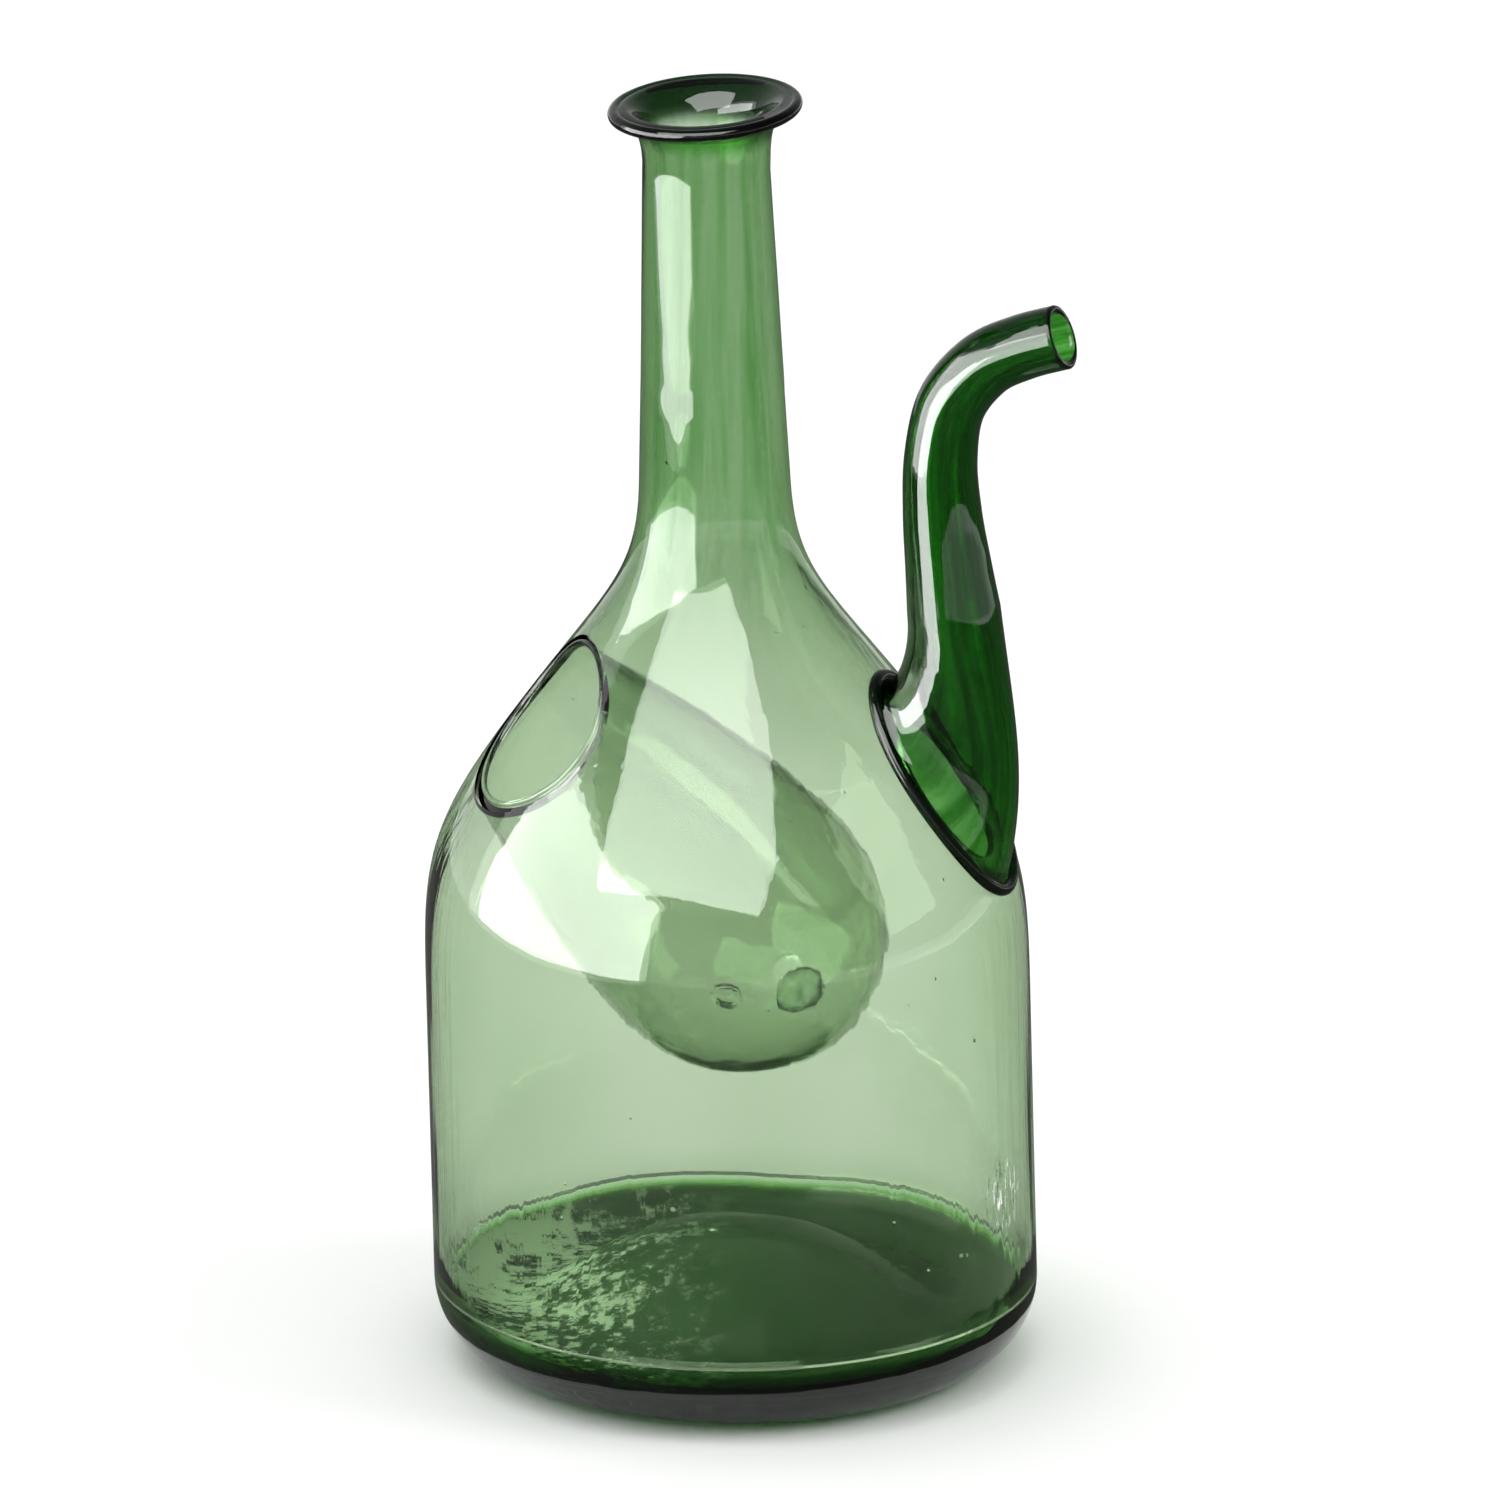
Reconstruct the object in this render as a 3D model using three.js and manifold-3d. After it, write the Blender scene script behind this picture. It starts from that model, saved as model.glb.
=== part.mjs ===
// Hand-blown green glass wine decanter with a built-in ice pocket and an applied pouring spout.
// Millimetres, +Z up. The decanter stands on z = 0, the spout points along +X, and the origin is
// the centre of the footprint box on the resting plane. Every piece is one gather or bit of glass.
import * as THREE from "three";
import { mergeVertices } from "three/addons/utils/BufferGeometryUtils.js";
import { ParametricGeometry } from "three/addons/geometries/ParametricGeometry.js";
import Module from "manifold-3d";

const wasm = await Module();
wasm.setup();

// ---- driving dimensions -------------------------------------------------------------------
const GAP = 0.3; // clearance left where two fused bits of glass meet
const BODY_RADIUS = 70.7;
const HEEL_RADIUS = 18.5; // round between the side wall and the resting ring
const BASE_TOP = 23.6; // where the thick base gives way to the blown wall
const SHOULDER_START = 86; // the cylinder begins to draw in
const SHOULDER_BREAK = { r: 41.9, z: 163.7 }; // the convex shoulder turns concave
const NECK_FOOT = { r: 17.7, z: 212.7 };
const NECK_TOP = { r: 14.9, z: 289 };
const LIP_RADIUS = 21.2; // centre line of the rolled edge
const LIP_HEIGHT = 303.6;
const LIP_BEAD = 1.5;
const LIP_TILT = THREE.MathUtils.degToRad(3.8);
const LIP_TILT_AZIMUTH = THREE.MathUtils.degToRad(18); // the side on which the lip stands higher
const LEAN = 0.026; // the axis leans away from the spout by this much per unit of height
const AXIS_OFFSET = { x: -4.5, y: 0 }; // body axis at the base, from the footprint's centre

const WALL = 2.2;
const NECK_WALL = 2.6;
const KICK_RADIUS = 50; // pushed-up centre of the base, underside
const KICK_HEIGHT = 19;
const FLOOR_HEIGHT = 9; // inside trough round the kick
const FLOOR_RADIUS = 55;
const DOME_HEIGHT = 29; // top of the kick, inside

const POCKET_AZIMUTH = THREE.MathUtils.degToRad(-144);
const POCKET_MOUTH = { r: 45.1, z: 159.4 }; // centre of the pocket's mouth on the shoulder
const POCKET_CROSSING = 107; // height at which the pocket's axis crosses the body's axis
const POCKET_MOUTH_RADIUS = 22;
const POCKET_RADIUS = 35.2; // at its widest
const POCKET_WIDEST = 70; // distance of the widest place from the mouth, along the axis
const POCKET_WALL = 1.8;
const POCKET_BEAD = 1.8; // thickened, fused edge of the mouth, half its thickness
const POCKET_RIM_DEPTH = 1.1; // from the outer surface to the middle of the thickened edge
const POCKET_LENGTH = 108.8;

const FOOT_HEIGHT = 144.5; // centre of the spout's foot on the shoulder
const FOOT_HALF_HEIGHT = 23.6;
const FOOT_HALF_WIDTH = 16.4;
const FOOT_BEAD = 1.5;
const SPOUT_SPLIT = { x: 57.8, z: 187, r: 11 }; // the flared foot ends and the round tube begins
const SPOUT_END_RADIUS = 7.6;
const SPOUT_WALL = 2;
const RIM_LENGTH = 1.6; // fire-polished end of the spout
const SEGMENTS = 36;

// ---- solids -------------------------------------------------------------------------------
function solid(geometry) {
  const plain = (geometry.index ? geometry.toNonIndexed() : geometry).clone();
  plain.deleteAttribute("normal");
  plain.deleteAttribute("uv");
  const merged = mergeVertices(plain, 1e-4);
  const made = new wasm.Manifold(
    new wasm.Mesh({
      numProp: 3,
      vertProperties: merged.attributes.position.array,
      triVerts: new Uint32Array(merged.index.array),
    }),
  );
  return made;
}

function geometryOf(manifold) {
  const mesh = manifold.getMesh();
  const geometry = new THREE.BufferGeometry();
  geometry.setAttribute("position", new THREE.BufferAttribute(mesh.vertProperties, 3));
  geometry.setIndex(new THREE.BufferAttribute(mesh.triVerts, 1));
  return geometry;
}

// A solid of revolution about Z; points are (radius, height), counter-clockwise in that plane.
function turned(points, segments = SEGMENTS) {
  return new THREE.LatheGeometry(points, segments).rotateX(Math.PI / 2);
}

function closed(points) {
  return [...points, points[0].clone()];
}

const at = (r, z) => new THREE.Vector2(r, z);

// The wall's other face: every point moved towards the axis side by the wall thickness.
function offsetInward(points, wall) {
  return points.map((point, i) => {
    const before = points[Math.max(i - 1, 0)];
    const after = points[Math.min(i + 1, points.length - 1)];
    const along = after.clone().sub(before).normalize();
    return at(point.x - along.y * wall, point.y + along.x * wall);
  });
}

// ---- outline of the blown bubble ----------------------------------------------------------
const shoulder = new THREE.CubicBezierCurve(
  at(BODY_RADIUS, SHOULDER_START),
  at(BODY_RADIUS, 121.7),
  at(BODY_RADIUS, 125.5),
  at(SHOULDER_BREAK.r, SHOULDER_BREAK.z),
);
const collar = new THREE.CubicBezierCurve(
  at(SHOULDER_BREAK.r, SHOULDER_BREAK.z),
  at(25, 186),
  at(18.5, 191.8),
  at(NECK_FOOT.r, NECK_FOOT.z),
);
const wallOutline = [
  at(BODY_RADIUS, BASE_TOP + GAP),
  at(BODY_RADIUS, 52),
  ...shoulder.getPoints(14),
  ...collar.getPoints(9).slice(1),
];

// Radius of the outer surface at a height.
function radiusAt(z) {
  const i = wallOutline.findIndex((point) => point.y >= z);
  if (i <= 0) return i === 0 ? BODY_RADIUS : NECK_FOOT.r;
  const low = wallOutline[i - 1];
  const high = wallOutline[i];
  return THREE.MathUtils.lerp(low.x, high.x, (z - low.y) / (high.y - low.y));
}

// The space inside the outer surface, down to the depth of the pocket's thickened edge.
const pocketRoom = solid(
  turned([
    at(0, BASE_TOP),
    ...offsetInward(wallOutline, POCKET_RIM_DEPTH),
    at(0, NECK_FOOT.z),
  ]),
);

// ---- base: resting ring, round heel, pushed-up kick ----------------------------------------
function baseGeometry() {
  const heel = new THREE.Path();
  heel.absarc(BODY_RADIUS - HEEL_RADIUS, HEEL_RADIUS, HEEL_RADIUS, -Math.PI / 2, 0);
  const underside = new THREE.QuadraticBezierCurve(
    at(0, KICK_HEIGHT),
    at(KICK_RADIUS * 0.62, KICK_HEIGHT),
    at(KICK_RADIUS, 0),
  );
  const inside = new THREE.CubicBezierCurve(
    at(BODY_RADIUS - WALL, BASE_TOP),
    at(BODY_RADIUS - WALL - 1, FLOOR_HEIGHT + 6),
    at(FLOOR_RADIUS + 9, FLOOR_HEIGHT),
    at(FLOOR_RADIUS, FLOOR_HEIGHT),
  );
  const dome = new THREE.CubicBezierCurve(
    at(FLOOR_RADIUS, FLOOR_HEIGHT),
    at(FLOOR_RADIUS - 14, FLOOR_HEIGHT),
    at(34, DOME_HEIGHT),
    at(0, DOME_HEIGHT),
  );
  return turned([
    ...underside.getPoints(8),
    ...heel.getPoints(7),
    at(BODY_RADIUS, BASE_TOP),
    ...inside.getPoints(6),
    ...dome.getPoints(9).slice(1),
  ]);
}

// ---- lip ----------------------------------------------------------------------------------
// The lip was tooled a little out of level: it rises towards one side, more the higher it is.
function tooledLip(geometry) {
  const position = geometry.attributes.position;
  const point = new THREE.Vector3();
  for (let i = 0; i < position.count; i++) {
    point.fromBufferAttribute(position, i);
    const across = point.x * Math.cos(LIP_TILT_AZIMUTH) + point.y * Math.sin(LIP_TILT_AZIMUTH);
    const share = THREE.MathUtils.smoothstep(point.z, NECK_TOP.z + GAP, LIP_HEIGHT - 3);
    position.setZ(i, point.z + across * Math.tan(LIP_TILT) * share);
  }
  return geometry;
}

const lipFlare = new THREE.CubicBezierCurve(
  at(NECK_TOP.r, NECK_TOP.z + GAP),
  at(NECK_TOP.r - 0.2, NECK_TOP.z + 9.5),
  at(NECK_TOP.r + 1.6, NECK_TOP.z + 12.6),
  at(LIP_RADIUS - 0.6, LIP_HEIGHT - 1.1),
);

function lipBead(radius) {
  return new THREE.TorusGeometry(LIP_RADIUS, radius, 8, SEGMENTS).translate(0, 0, LIP_HEIGHT);
}

function lipGeometry() {
  const outer = lipFlare.getPoints(7);
  const inner = offsetInward(outer, NECK_WALL - 0.2).reverse();
  const flare = solid(turned(closed([...outer, ...inner])));
  return tooledLip(geometryOf(flare.subtract(solid(lipBead(LIP_BEAD + GAP)))));
}

// ---- ice pocket ---------------------------------------------------------------------------
const pocketMouth = new THREE.Vector3(
  POCKET_MOUTH.r * Math.cos(POCKET_AZIMUTH),
  POCKET_MOUTH.r * Math.sin(POCKET_AZIMUTH),
  POCKET_MOUTH.z,
);
const pocketAxis = new THREE.Vector3(0, 0, POCKET_CROSSING).sub(pocketMouth).normalize();
const pocketTurn = new THREE.Quaternion().setFromUnitVectors(
  new THREE.Vector3(0, 0, 1),
  pocketAxis,
);
const pocketPlace = new THREE.Matrix4().compose(
  pocketMouth,
  pocketTurn,
  new THREE.Vector3(1, 1, 1),
);
const OUTSIDE = -24; // how far the blanks run out past the mouth before they are trimmed

// Pear outline from beyond the mouth to the round end; x is radius, y is distance along the axis.
const pearOutline = [
  at(POCKET_MOUTH_RADIUS, OUTSIDE),
  at(POCKET_MOUTH_RADIUS, 0),
  ...new THREE.CubicBezierCurve(
    at(POCKET_MOUTH_RADIUS, 0),
    at(POCKET_MOUTH_RADIUS + 5, POCKET_WIDEST * 0.3),
    at(POCKET_RADIUS, POCKET_WIDEST * 0.62),
    at(POCKET_RADIUS, POCKET_WIDEST),
  ).getPoints(7).slice(1),
  ...new THREE.CubicBezierCurve(
    at(POCKET_RADIUS, POCKET_WIDEST),
    at(POCKET_RADIUS, POCKET_WIDEST + 22),
    at(POCKET_RADIUS * 0.55, POCKET_LENGTH),
    at(0, POCKET_LENGTH),
  ).getPoints(9).slice(1),
];

function pearSolid(grow, end = OUTSIDE) {
  const outer = offsetInward(pearOutline, -grow).filter((point) => point.x > 0.01);
  const last = POCKET_LENGTH + grow;
  const first = at(0, end);
  return solid(
    turned([first, at(outer[0].x, end), ...outer.slice(1), at(0, last)]).applyMatrix4(pocketPlace),
  );
}

// Where the pocket's tube comes out through the shoulder: a closed curve on the outer surface.
function pocketRimCurve() {
  const radius = POCKET_MOUTH_RADIUS - POCKET_WALL / 2;
  const points = [];
  for (let i = 0; i < 32; i++) {
    const angle = (i / 32) * 2 * Math.PI;
    const spot = new THREE.Vector3();
    let low = OUTSIDE;
    let high = 30;
    for (let pass = 0; pass < 30; pass++) {
      const along = (low + high) / 2;
      spot
        .set(radius * Math.cos(angle), radius * Math.sin(angle), along)
        .applyMatrix4(pocketPlace);
      const outside = Math.hypot(spot.x, spot.y) > radiusAt(spot.z) - POCKET_RIM_DEPTH;
      if (outside) low = along;
      else high = along;
    }
    points.push(spot.clone());
  }
  return new THREE.CatmullRomCurve3(points, true);
}

const pocketRim = pocketRimCurve();
const pocketRimBead = (radius) => new THREE.TubeGeometry(pocketRim, 40, radius, 8, true);

// Button of glass left by the iron that held the pocket, on the far side of its round end.
function pontilGeometry() {
  const blob = new THREE.SphereGeometry(6.5, 14, 6).scale(1, 1, 0.32);
  const lean = new THREE.Vector3(0.245, 0.669, -0.7).normalize();
  const centre = new THREE.Vector3(0, 0, 73).applyMatrix4(pocketPlace);
  const turn = new THREE.Quaternion().setFromUnitVectors(new THREE.Vector3(0, 0, 1), lean);
  const spot = centre.clone().addScaledVector(lean, POCKET_RADIUS - 1);
  return blob.applyMatrix4(
    new THREE.Matrix4().compose(spot, turn, new THREE.Vector3(1, 1, 1)),
  );
}

// ---- spout --------------------------------------------------------------------------------
// Centre line of the round tube, in the plane y = 0: up beside the neck, then over and outward.
const spoutRoute = new THREE.CatmullRomCurve3(
  [
    [SPOUT_SPLIT.x, SPOUT_SPLIT.z],
    [56.8, 197],
    [55.6, 210],
    [55.5, 224],
    [58.4, 237.4],
    [66.4, 247.6],
    [76, 253],
    [86.1, 256.6],
  ].map(([x, z]) => new THREE.Vector3(x, 0, z)),
);

function tubeRadius(share) {
  return SPOUT_END_RADIUS + (SPOUT_SPLIT.r - SPOUT_END_RADIUS) * (1 - share) ** 2.2;
}

// A closed skin: out along one face, across the end, back along the other and across the start.
function shellBetween(outerFace, innerFace, around, steps) {
  const rows = 2 * steps + 2;
  const surface = (u, v, target) => {
    const angle = -u * 2 * Math.PI;
    const row = Math.round(v * rows) % rows;
    if (row <= steps) outerFace(angle, row / steps, target);
    else innerFace(angle, (rows - 1 - row) / steps, target);
  };
  return new ParametricGeometry(surface, around, rows);
}

function tubeFace(inset) {
  return (angle, share, target) => {
    const centre = spoutRoute.getPointAt(share);
    const tangent = spoutRoute.getTangentAt(share);
    const side = new THREE.Vector3(0, 1, 0);
    const normal = new THREE.Vector3().crossVectors(tangent, side);
    const radius = tubeRadius(share) - inset;
    target
      .copy(centre)
      .addScaledVector(normal, radius * Math.cos(angle))
      .addScaledVector(side, radius * Math.sin(angle));
  };
}

// A point on the outline of the foot, standing off the shoulder by a clearance.
function footPoint(angle, inset, lift) {
  const z = FOOT_HEIGHT + (FOOT_HALF_HEIGHT - inset) * Math.cos(angle);
  const y = (FOOT_HALF_WIDTH - inset) * Math.sin(angle);
  const x = Math.sqrt((radiusAt(z) + lift) ** 2 - y ** 2);
  return new THREE.Vector3(x, y, z);
}

// The flare: from the leaf-shaped outline on the shoulder up to the round tube.
function flareFace(inset) {
  return (angle, share, target) => {
    const start = footPoint(angle, inset * 1.3, GAP * 1.5);
    const end = new THREE.Vector3();
    tubeFace(inset)(angle, 0, end);
    const tangent = spoutRoute.getTangentAt(0);
    const reach = start.distanceTo(end);
    const inner = footPoint(angle, inset * 1.3 + 6, 5.5);
    const away = inner.sub(start).normalize();
    away.lerp(end.clone().sub(start).normalize(), Math.max(-Math.cos(angle), 0) * 0.45).normalize();
    const top = Math.max(Math.cos(angle), 0);
    const leave = start.clone().addScaledVector(away, THREE.MathUtils.lerp(reach * 0.42, 5, top));
    const arrive = end.clone().addScaledVector(tangent, -THREE.MathUtils.lerp(reach * 0.4, 9, top));
    target.copy(new THREE.CubicBezierCurve3(start, leave, arrive, end).getPoint(share));
  };
}

function spoutFootGeometry() {
  const flare = shellBetween(flareFace(0), flareFace(SPOUT_WALL), 28, 7);
  return geometryOf(solid(flare).subtract(solid(footRimBead(FOOT_BEAD + GAP))));
}

const RIM_SHARE = 1 - RIM_LENGTH / spoutRoute.getLength();
const FOOT_SHARE = GAP / spoutRoute.getLength();

function spoutTubeGeometry() {
  const face = (inset) => (angle, share, target) => {
    const placed = THREE.MathUtils.lerp(FOOT_SHARE, RIM_SHARE - FOOT_SHARE, share);
    tubeFace(inset)(angle, placed, target);
  };
  return shellBetween(face(0), face(SPOUT_WALL), 18, 14);
}

function spoutRimGeometry() {
  const face = (inset) => (angle, share, target) => {
    tubeFace(inset)(angle, THREE.MathUtils.lerp(RIM_SHARE, 1, share), target);
  };
  return shellBetween(face(-0.25), face(SPOUT_WALL), 18, 1);
}

function footOutline() {
  const points = [];
  for (let i = 0; i < 32; i++) points.push(footPoint((i / 32) * 2 * Math.PI, -0.6, 1));
  return new THREE.CatmullRomCurve3(points, true);
}

const footRim = footOutline();
const footRimBead = (radius) => new THREE.TubeGeometry(footRim, 40, radius, 6, true);

// Hole through the shoulder under the spout's foot.
function spoutHole() {
  const across = new THREE.SphereGeometry(1, 20, 10).scale(14, 12.5, 19);
  const slope = Math.atan2(radiusAt(FOOT_HEIGHT - 8) - radiusAt(FOOT_HEIGHT + 8), 16);
  const spot = footPoint(Math.PI / 2, FOOT_HALF_WIDTH, 0);
  return solid(across.rotateY(-slope).translate(spot.x, 0, FOOT_HEIGHT));
}

// ---- fused joints -------------------------------------------------------------------------
function bodyGeometry() {
  const inner = offsetInward(wallOutline, WALL).reverse();
  inner[inner.length - 1] = at(BODY_RADIUS - WALL, BASE_TOP + GAP);
  inner[0] = at(NECK_FOOT.r - NECK_WALL, NECK_FOOT.z);
  return geometryOf(
    solid(turned(closed([...wallOutline, ...inner])))
      .subtract(pearSolid(GAP))
      .subtract(solid(pocketRimBead(POCKET_BEAD + GAP)))
      .subtract(solid(footRimBead(FOOT_BEAD + GAP)))
      .subtract(spoutHole()),
  );
}

function pocketGeometry() {
  return geometryOf(
    pearSolid(0)
      .subtract(pearSolid(-POCKET_WALL, OUTSIDE - 5))
      .intersect(pocketRoom)
      .subtract(solid(pocketRimBead(POCKET_BEAD + GAP)))
      .subtract(solid(pontilGeometry())),
  );
}

function neckGeometry() {
  const foot = NECK_FOOT.z + GAP;
  return turned(
    closed([
      at(NECK_FOOT.r, foot),
      at(16.2, 250),
      at(NECK_TOP.r, NECK_TOP.z),
      at(NECK_TOP.r - NECK_WALL, NECK_TOP.z),
      at(16.2 - NECK_WALL, 250),
      at(NECK_FOOT.r - NECK_WALL, foot),
    ]),
  );
}

// ---- glass --------------------------------------------------------------------------------
const paleGreen = { color: 0xa9c7a4, roughness: 0.05, metalness: 0 };
const midGreen = { color: 0x5f9a63, roughness: 0.05, metalness: 0 };
const deepGreen = { color: 0x1f5a2b, roughness: 0.06, metalness: 0 };
const darkEdge = { color: 0x12341c, roughness: 0.08, metalness: 0 };

const leaning = new THREE.Matrix4().makeShear(0, 0, 0, 0, -LEAN, 0);
const decanter = new THREE.Group();
const standing = new THREE.Group();
standing.position.set(AXIS_OFFSET.x, AXIS_OFFSET.y, 0);
decanter.add(standing);

function add(name, geometry, glass) {
  const mesh = new THREE.Mesh(
    geometry.applyMatrix4(leaning),
    new THREE.MeshStandardMaterial({ ...glass, transparent: true, opacity: 0.6 }),
  );
  mesh.name = name;
  standing.add(mesh);
}

add("base", baseGeometry(), deepGreen);
add("body", bodyGeometry(), paleGreen);
add("neck", neckGeometry(), midGreen);
add("lip", lipGeometry(), midGreen);
add("lip_rim", tooledLip(lipBead(LIP_BEAD)), darkEdge);
add("ice_pocket", pocketGeometry(), paleGreen);
add("pocket_rim", pocketRimBead(POCKET_BEAD), midGreen);
add("pocket_pontil", pontilGeometry(), midGreen);
add("spout_foot", spoutFootGeometry(), deepGreen);
add("spout_foot_edge", footRimBead(FOOT_BEAD), darkEdge);
add("spout_tube", spoutTubeGeometry(), deepGreen);
add("spout_rim", spoutRimGeometry(), darkEdge);

export default decanter;
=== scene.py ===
import math

import bmesh
import bpy
from mathutils import Matrix, Vector, noise
from mathutils.geometry import interpolate_bezier


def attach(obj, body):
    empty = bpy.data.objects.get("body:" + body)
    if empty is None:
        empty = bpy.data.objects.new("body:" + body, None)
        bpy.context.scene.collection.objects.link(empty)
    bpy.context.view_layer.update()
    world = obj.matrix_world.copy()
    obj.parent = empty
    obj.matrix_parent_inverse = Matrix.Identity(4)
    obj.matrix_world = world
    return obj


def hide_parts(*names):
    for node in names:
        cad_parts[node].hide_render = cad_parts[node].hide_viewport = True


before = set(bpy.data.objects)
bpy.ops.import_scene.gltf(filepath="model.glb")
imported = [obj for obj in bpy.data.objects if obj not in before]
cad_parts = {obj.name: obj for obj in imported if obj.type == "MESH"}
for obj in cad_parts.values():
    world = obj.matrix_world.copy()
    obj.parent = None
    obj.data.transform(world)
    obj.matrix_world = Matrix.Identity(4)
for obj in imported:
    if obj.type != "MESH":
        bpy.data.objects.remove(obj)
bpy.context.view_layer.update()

bl_info = {
    "name": "Ice pocket decanter",
    "version": (1, 0, 0),
    "blender": (4, 5, 0),
    "location": "3D View > Sidebar > Decanter",
    "description": "Builds a hand-blown green glass decanter with an ice pocket and a pouring spout",
    "category": "Add Mesh",
}

MM = 0.001
GAP = 0.3 * MM  # between bits of glass that were made separately
SEAM = 0.1 * MM  # between the base and the wall
FULL_TURN = 2 * math.pi
UP = Vector((0, 0, 1))
BODY = "root"
HOLE_ROOM = 24 * MM  # how far the pocket's shape stands out of the shoulder while it is cut
RIGHT_X, RIGHT_Y = 0.951, 0.309  # the way to the right in the main view, on the floor
CARD_RADII = (0.0755, 1.6)  # the dark card's hole, just wider than the base, and its edge


# Places of single marks on the glass, in metres.
RING_PLACE = Vector((-14.1, 21, 77.5)) * MM
SCUFF_PLACE = Vector((64.3, -9.9, 48)) * MM
BUTTON_WAY = Vector((0.245, 0.669, -0.7)).normalized()

# Surface tints: colours that light takes on crossing a face of the glass.
CLEAR_TINT = (0.95, 0.985, 0.955, 1)
BODY_TINT = (0.985, 0.985, 0.975, 1)
NECK_TINT = (0.84, 0.91, 0.84, 1)
VEIN_TINT = (0.5, 0.74, 0.46, 1)
# Painted shade on the back of the rolled lip, and painted light on its front; the lip's glass is one
# colour.
LIP_BACK_PAINTED_SHADE = (0.012, 0.04, 0.012, 1)
LIP_FRONT_PAINTED_LIGHT = (0.3, 0.72, 0.22, 1)
SCUFF_TINT = (0.9, 0.95, 0.9, 1)
# The heel and the inner floor: the deep green of thick glass, darkened further as painted shade.
HEEL_GREEN_AND_PAINTED_SHADE = (0.2, 0.48, 0.1, 1)
FLOOR_GREEN_AND_PAINTED_SHADE = (0.012, 0.066, 0.005, 1)
POCKET_TINT = (0.98, 0.99, 0.97, 1)
SPOUT_TINT = (0.85, 0.96, 0.87, 1)
DARK_STREAK_TINT = (0.2, 0.46, 0.12, 1)
LIGHT_STREAK_TINT = (0.95, 1.0, 0.9, 1)
ROLL_TINT = (0.08, 0.2, 0.07, 1)


# ---- sizes and colours ------------------------------------------------------------------------
def length(name, description, millimetres):
    """A length property with its default given in millimetres."""
    return bpy.props.FloatProperty(
        name=name,
        description=description,
        default=millimetres * MM,
        unit="LENGTH",
        subtype="DISTANCE",
        precision=4,
    )


def angle(name, description, degrees):
    """An angle property with its default given in degrees."""
    return bpy.props.FloatProperty(
        name=name,
        description=description,
        default=math.radians(degrees),
        unit="ROTATION",
        subtype="ANGLE",
    )


def colour(name, description, default):
    """A colour property."""
    return bpy.props.FloatVectorProperty(
        name=name, description=description, default=default, size=3, min=0, max=1, subtype="COLOR"
    )


def factor(name, description, default):
    """A plain number property."""
    return bpy.props.FloatProperty(name=name, description=description, default=default)


class BubbleSizes(bpy.types.PropertyGroup):
    """Sizes of the blown body, neck and lip."""

    body_radius: length("Body radius", "Outer radius of the straight wall", 70.7)
    seam_height: length("Seam height", "Where the thick base gives way to the blown wall", 18.5)
    shoulder_start: length("Shoulder start", "Height at which the wall begins to draw in", 86)
    shoulder_radius: length("Shoulder radius", "Radius where the shoulder turns hollow", 41.9)
    shoulder_height: length("Shoulder height", "Height where the shoulder turns hollow", 163.7)
    neck_foot_radius: length("Neck foot radius", "Radius at the foot of the neck", 17.7)
    neck_foot_height: length("Neck foot height", "Height of the foot of the neck", 212.7)
    neck_radius: length("Neck radius", "Radius just under the lip", 14.9)
    neck_height: length("Neck height", "Height at which the lip begins to flare", 289)
    lip_radius: length("Lip radius", "Radius of the middle of the rolled lip", 21.2)
    lip_height: length("Lip height", "Height of the middle of the rolled lip", 303.6)
    lip_roll: length("Lip roll", "Radius of the roll itself", 1.5)
    lip_tilt: angle("Lip tilt", "How far the lip stands out of level", 3.8)
    lip_tilt_direction: angle("Lip tilt direction", "Side on which the lip stands higher", 18)
    wall: length("Wall", "Thickness of the body's wall", 1.8)
    neck_wall: length("Neck wall", "Thickness of the neck's wall", 3.1)
    seam_wall: length("Seam wall", "Thickness of the wall where it meets the base", 2.7)
    thickening: length("Thickening", "Height over which the wall thickens towards the base", 9)
    waviness: length("Waviness", "Unevenness of the wall's inner face", 0.35)
    lean: factor("Lean", "How far the axis leans away from the spout, per unit of height", 0.026)
    axis_offset: length("Axis offset", "Place of the axis at the base, along X", -4.5)


class BaseSizes(bpy.types.PropertyGroup):
    """Sizes of the thick base."""

    heel_radius: length("Heel radius", "Round between the wall and the resting ring", 18.5)
    kick_radius: length("Kick radius", "Radius of the pushed-up middle, underneath", 50)
    kick_height: length("Kick height", "Height of the pushed-up middle, underneath", 19)
    floor_radius: length("Floor radius", "Radius of the trough inside", 55)
    floor_height: length("Floor height", "Height of the trough inside", 9)
    dome_height: length("Dome height", "Height of the pushed-up middle, inside", 29)


class PocketSizes(bpy.types.PropertyGroup):
    """Sizes of the ice pocket."""

    direction: angle("Direction", "Side of the shoulder on which the pocket opens", -144)
    mouth_distance: length("Mouth distance", "From the axis to the middle of the mouth", 45.1)
    mouth_height: length("Mouth height", "Height of the middle of the mouth", 159.4)
    crossing: length("Crossing", "Height at which the pocket's axis crosses the body's", 107)
    mouth_radius: length("Mouth radius", "Outer radius at the mouth", 22)
    radius: length("Radius", "Outer radius at the widest place", 35.2)
    widest: length("Widest place", "From the mouth to the widest place", 70)
    depth: length("Depth", "From the mouth to the round end", 108.8)
    wall: length("Wall", "Thickness of the pocket's wall", 1.8)
    edge: length("Edge", "Radius of the thickened edge of the mouth", 0.75)
    edge_depth: length("Edge depth", "From the shoulder's surface to the middle of the edge", 1.3)
    button_radius: length("Button radius", "Radius of the button left by the iron", 6.5)


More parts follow.
